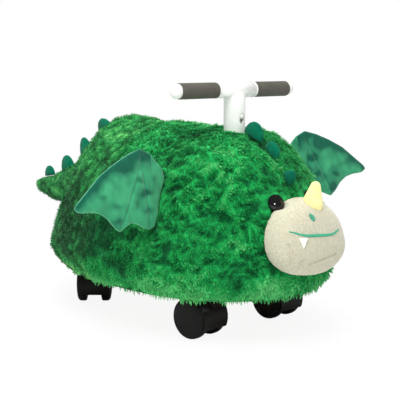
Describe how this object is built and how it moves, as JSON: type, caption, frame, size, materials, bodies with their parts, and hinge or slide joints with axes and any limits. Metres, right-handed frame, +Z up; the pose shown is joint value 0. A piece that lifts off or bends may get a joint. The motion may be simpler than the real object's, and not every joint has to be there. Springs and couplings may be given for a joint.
{
  "type": "plush ride-on animal",
  "caption": "Furry ride-on dragon: foam body on a board with hooded twin-wheel swivel casters, sewn wings, horn, tail and a T handle.",
  "frame": {"origin": "on the floor, under the middle of the length from the muzzle to the tip of the tail, on the centre line", "axes": "+X runs to the nose, +Y to the animal's left, +Z up"},
  "size_m": [0.8268, 0.6918, 0.4237],
  "materials": {
    "fur_front": "long soft pile, clumped",
    "fur_rear": "short tight curls",
    "felt_teal": "short nap",
    "velour_beige": "short nap",
    "horn_yellow": "short nap",
    "thread_teal": "satin thread",
    "felt_white": "matte felt",
    "eye_black": "polished",
    "tape_green": "woven tape",
    "foam": "open cell",
    "plywood": "sanded",
    "plastic_white": "satin moulded",
    "plastic_black": "satin moulded",
    "rubber_grey": "matte",
    "steel": "zinc plated"
  },
  "bodies": {
    "chassis": {"base_board": "plywood", "button_spring": "steel", "caster_socket_front_left": "plastic_black", "caster_socket_front_right": "plastic_black", "caster_socket_rear_left": "plastic_black", "caster_socket_rear_right": "plastic_black", "core_post": "steel", "eye_left": "eye_black", "eye_right": "eye_black", "foam_body": "foam", "front_fur_cover": "fur_front", "hem_binding": "tape_green", "horn": "horn_yellow", "mouth_stitch": "thread_teal", "muzzle": "velour_beige", "nose_stitch": "thread_teal", "post_bolt": "steel", "rear_fur_cover": "fur_rear", "spike_front_large": "felt_teal", "spike_front_middle": "felt_teal", "spike_front_small": "felt_teal", "spike_rear_high": "felt_teal", "spike_tail_far": "felt_teal", "spike_tail_middle": "felt_teal", "spike_tail_near": "felt_teal", "tail": "fur_rear", "tooth": "felt_white"},
    "caster_front_right": {"caster_stem_front_right": "steel", "caster_housing_front_right": "plastic_black", "caster_axle_front_right": "steel"},
    "left_wheel_front_right": {"left_wheel_front_right": "plastic_black"},
    "right_wheel_front_right": {"right_wheel_front_right": "plastic_black"},
    "caster_front_left": {"caster_stem_front_left": "steel", "caster_housing_front_left": "plastic_black", "caster_axle_front_left": "steel"},
    "left_wheel_front_left": {"left_wheel_front_left": "plastic_black"},
    "right_wheel_front_left": {"right_wheel_front_left": "plastic_black"},
    "caster_rear_right": {"caster_stem_rear_right": "steel", "caster_housing_rear_right": "plastic_black", "caster_axle_rear_right": "steel"},
    "left_wheel_rear_right": {"left_wheel_rear_right": "plastic_black"},
    "right_wheel_rear_right": {"right_wheel_rear_right": "plastic_black"},
    "caster_rear_left": {"caster_stem_rear_left": "steel", "caster_housing_rear_left": "plastic_black", "caster_axle_rear_left": "steel"},
    "left_wheel_rear_left": {"left_wheel_rear_left": "plastic_black"},
    "right_wheel_rear_left": {"right_wheel_rear_left": "plastic_black"},
    "handle": {"t_handle": "plastic_white", "grip_collar_left": "plastic_white", "grip_collar_right": "plastic_white", "grip_left": "rubber_grey", "grip_right": "rubber_grey", "end_cap_left": "plastic_white", "end_cap_right": "plastic_white"},
    "lock_button": {"lock_button": "plastic_white"},
    "wing_left": {"wing_left": "felt_teal"},
    "wing_right": {"wing_right": "felt_teal"}
  },
  "joints": [
    {"name": "front_right_swivel", "type": "hinge", "parent": "chassis", "child": "caster_front_right", "pos_m": [0.24227, -0.094, 0.084], "axis": [0, 0, 1], "continuous": true},
    {"name": "left_wheel_front_right_roll", "type": "hinge", "parent": "caster_front_right", "child": "left_wheel_front_right", "pos_m": [0.22234, -0.09574, 0.03478], "axis": [-0.0872, 0.9962, 0], "continuous": true},
    {"name": "right_wheel_front_right_roll", "type": "hinge", "parent": "caster_front_right", "child": "right_wheel_front_right", "pos_m": [0.22234, -0.09574, 0.03478], "axis": [-0.0872, 0.9962, 0], "continuous": true},
    {"name": "front_left_swivel", "type": "hinge", "parent": "chassis", "child": "caster_front_left", "pos_m": [0.24227, 0.094, 0.084], "axis": [0, 0, 1], "continuous": true},
    {"name": "left_wheel_front_left_roll", "type": "hinge", "parent": "caster_front_left", "child": "left_wheel_front_left", "pos_m": [0.22227, 0.09365, 0.03478], "axis": [-0.0175, 0.9998, 0], "continuous": true},
    {"name": "right_wheel_front_left_roll", "type": "hinge", "parent": "caster_front_left", "child": "right_wheel_front_left", "pos_m": [0.22227, 0.09365, 0.03478], "axis": [-0.0175, 0.9998, 0], "continuous": true},
    {"name": "rear_right_swivel", "type": "hinge", "parent": "chassis", "child": "caster_rear_right", "pos_m": [-0.07973, -0.094, 0.084], "axis": [0, 0, 1], "continuous": true},
    {"name": "left_wheel_rear_right_roll", "type": "hinge", "parent": "caster_rear_right", "child": "left_wheel_rear_right", "pos_m": [-0.09436, -0.08036, 0.03478], "axis": [0.682, 0.7314, 0], "continuous": true},
    {"name": "right_wheel_rear_right_roll", "type": "hinge", "parent": "caster_rear_right", "child": "right_wheel_rear_right", "pos_m": [-0.09436, -0.08036, 0.03478], "axis": [0.682, 0.7314, 0], "continuous": true},
    {"name": "rear_left_swivel", "type": "hinge", "parent": "chassis", "child": "caster_rear_left", "pos_m": [-0.07973, 0.094, 0.084], "axis": [0, 0, 1], "continuous": true},
    {"name": "left_wheel_rear_left_roll", "type": "hinge", "parent": "caster_rear_left", "child": "left_wheel_rear_left", "pos_m": [-0.09705, 0.104, 0.03478], "axis": [0.5, 0.866, 0], "continuous": true},
    {"name": "right_wheel_rear_left_roll", "type": "hinge", "parent": "caster_rear_left", "child": "right_wheel_rear_left", "pos_m": [-0.09705, 0.104, 0.03478], "axis": [0.5, 0.866, 0], "continuous": true},
    {"name": "wing_left_flap", "type": "hinge", "parent": "chassis", "child": "wing_left", "pos_m": [0.19727, 0.157, 0.2], "axis": [0, 0, 1], "range_deg": [-25, 25], "stiffness_Nm_per_rad": 0.05},
    {"name": "wing_right_flap", "type": "hinge", "parent": "chassis", "child": "wing_right", "pos_m": [0.19727, -0.157, 0.191], "axis": [0, 0, 1], "range_deg": [-25, 25], "stiffness_Nm_per_rad": 0.05},
    {"name": "handle_lift", "type": "slide", "parent": "chassis", "child": "handle", "axis": [0, 0, 1], "range_m": [0, 0.007]},
    {"name": "lock_press", "type": "slide", "parent": "chassis", "child": "lock_button", "axis": [-1, 0, 0], "range_m": [0, 0.0055], "stiffness_N_per_m": 300, "springref_m": -0.004, "deforming": ["button_spring"]}
  ]
}
